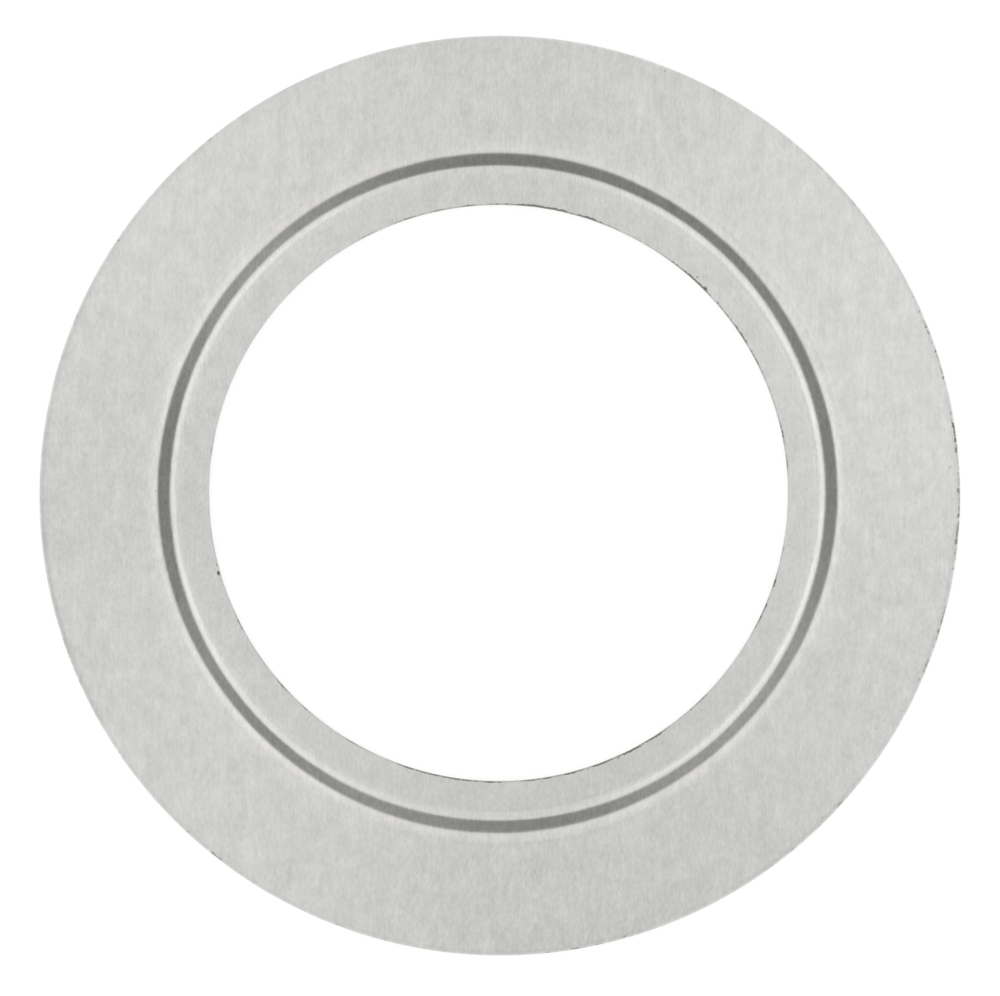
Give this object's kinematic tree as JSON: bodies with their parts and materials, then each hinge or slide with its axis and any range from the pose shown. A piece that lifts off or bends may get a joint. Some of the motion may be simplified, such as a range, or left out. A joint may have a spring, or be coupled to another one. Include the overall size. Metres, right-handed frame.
{
  "type": "egr valve gasket",
  "caption": "Flat round ring of sheet steel with a half bead: a sloping step lifts the narrow land round its bore, and seals a pipe joint when clamped.",
  "frame": {"origin": "on the bore's axis, level with the flat underside of the outer flange", "axes": "+Z along the bore's axis, towards the side to which the land is raised; +Y along the rolling grain of the sheet"},
  "size_m": [0.07, 0.07, 0.001],
  "materials": {
    "sheet_steel": "bare cold-rolled sheet, dull satin, with a fine straight rolling grain and sheared edges"
  },
  "bodies": {
    "root": {"gasket_ring": "sheet_steel"}
  },
  "joints": []
}
